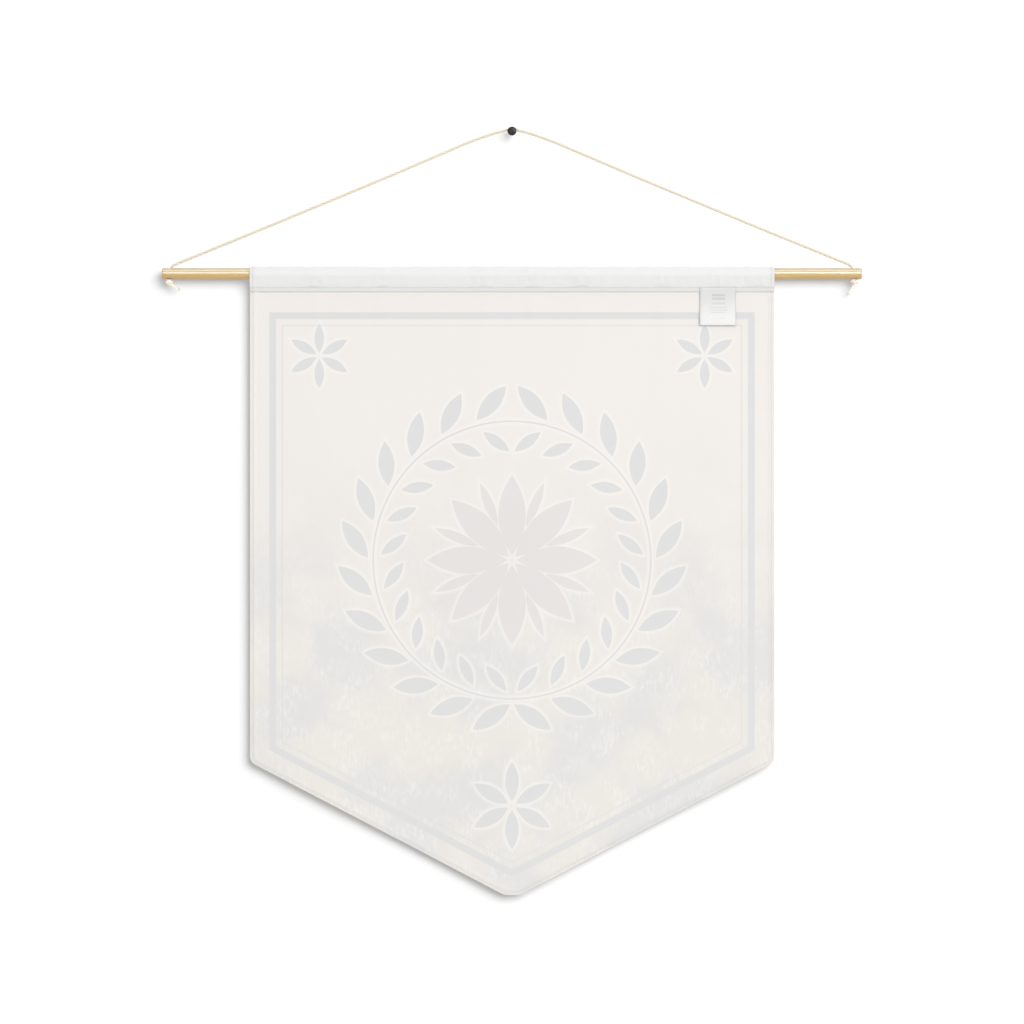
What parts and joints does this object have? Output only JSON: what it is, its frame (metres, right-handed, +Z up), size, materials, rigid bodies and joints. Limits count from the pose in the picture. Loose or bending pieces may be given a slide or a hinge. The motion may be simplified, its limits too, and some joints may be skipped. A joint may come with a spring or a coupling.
{
  "type": "pennant banner on a rod with hanging cord and nail",
  "caption": "Cloth pennant with a pointed lower edge and a rod pocket, on a wooden rod hung by a knotted cord from a nail.",
  "frame": {"origin": "on the nail's axis, where the nail enters the wall", "axes": "+Z up, X along the rod, +Y into the wall, so that the side shown in the picture faces -Y"},
  "size_m": [0.6096, 0.0329, 0.67],
  "materials": {
    "banner_cloth": "matt woven polyester, print showing faintly through from the other face",
    "label_satin": "soft satin ribbon",
    "dowel_wood": "sanded and lightly varnished",
    "twisted_cord": "twisted cotton",
    "dark_nail": "blackened steel, half gloss"
  },
  "bodies": {
    "root": {"banner_cloth": "banner_cloth", "care_label": "label_satin", "dowel_rod": "dowel_wood", "hanging_cord": "twisted_cord", "knot_left": "twisted_cord", "knot_right": "twisted_cord", "nail": "dark_nail"}
  },
  "joints": []
}
